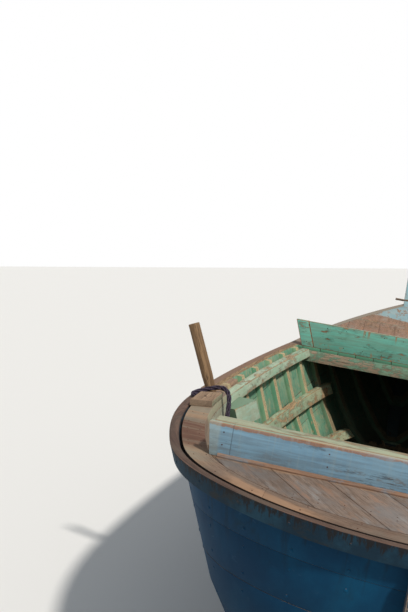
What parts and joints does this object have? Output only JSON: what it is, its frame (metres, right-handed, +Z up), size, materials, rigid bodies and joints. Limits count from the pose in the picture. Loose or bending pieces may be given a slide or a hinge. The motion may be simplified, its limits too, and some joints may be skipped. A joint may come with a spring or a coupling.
{
  "type": "planked wooden fishing boat",
  "caption": "Open wooden rowing and fishing boat with round stern, small stern deck and coaming, ribbed open well, foredeck and thole pins, lying heeled as beached.",
  "frame": {"origin": "centre of the bounding box's footprint, on the ground the boat lies on", "axes": "+Y forward along the keel, +X to starboard and level, +Z up; the boat is heeled to starboard about Y"},
  "size_m": [2.0872, 5.483, 1.3298],
  "materials": {
    "hull_blue": "worn paint",
    "rail_tan": "worn paint",
    "inside_green": "worn paint",
    "pale_green": "worn paint",
    "deck_grey": "worn paint",
    "coaming_blue": "worn paint",
    "bare_wood": "worn paint",
    "foredeck_pale": "worn paint",
    "teal": "worn paint",
    "rope": "fibrous"
  },
  "bodies": {
    "root": {"keel": "hull_blue", "stem_post": "hull_blue", "stern_post": "hull_blue", "bottom_starboard": "hull_blue", "bottom_port": "hull_blue", "bilge_strake_starboard": "hull_blue", "bilge_strake_port": "hull_blue", "lower_side_strake_starboard": "hull_blue", "lower_side_strake_port": "hull_blue", "upper_side_strake_starboard": "hull_blue", "upper_side_strake_port": "hull_blue", "sheer_strake_starboard": "hull_blue", "sheer_strake_port": "hull_blue", "rub_rail_starboard": "rail_tan", "rub_rail_port": "rail_tan", "rub_rail_stern": "rail_tan", "floor_timbers": "inside_green", "ribs_aft": "inside_green", "ribs_well": "inside_green", "ribs_fore": "inside_green", "stringers": "inside_green", "inwales": "pale_green", "clamps": "pale_green", "gunwale_chocks": "pale_green", "covering_boards": "deck_grey", "covering_board_stern": "deck_grey", "stern_deck_starboard": "deck_grey", "stern_deck_port": "deck_grey", "stern_coaming": "coaming_blue", "coaming_timber": "pale_green", "coaming_moulding": "bare_wood", "stern_deck_beams": "inside_green", "fore_beam": "bare_wood", "foredeck_beams": "inside_green", "foredeck_nose": "foredeck_pale", "foredeck_starboard": "deck_grey", "foredeck_port": "deck_grey", "fore_coaming": "teal", "fore_coaming_posts": "teal", "thole_blocks": "rail_tan", "thole_pins": "bare_wood", "thole_backings": "pale_green", "rope_strop": "rope", "rope_knot": "rope", "mooring_bar": "bare_wood"}
  },
  "joints": []
}
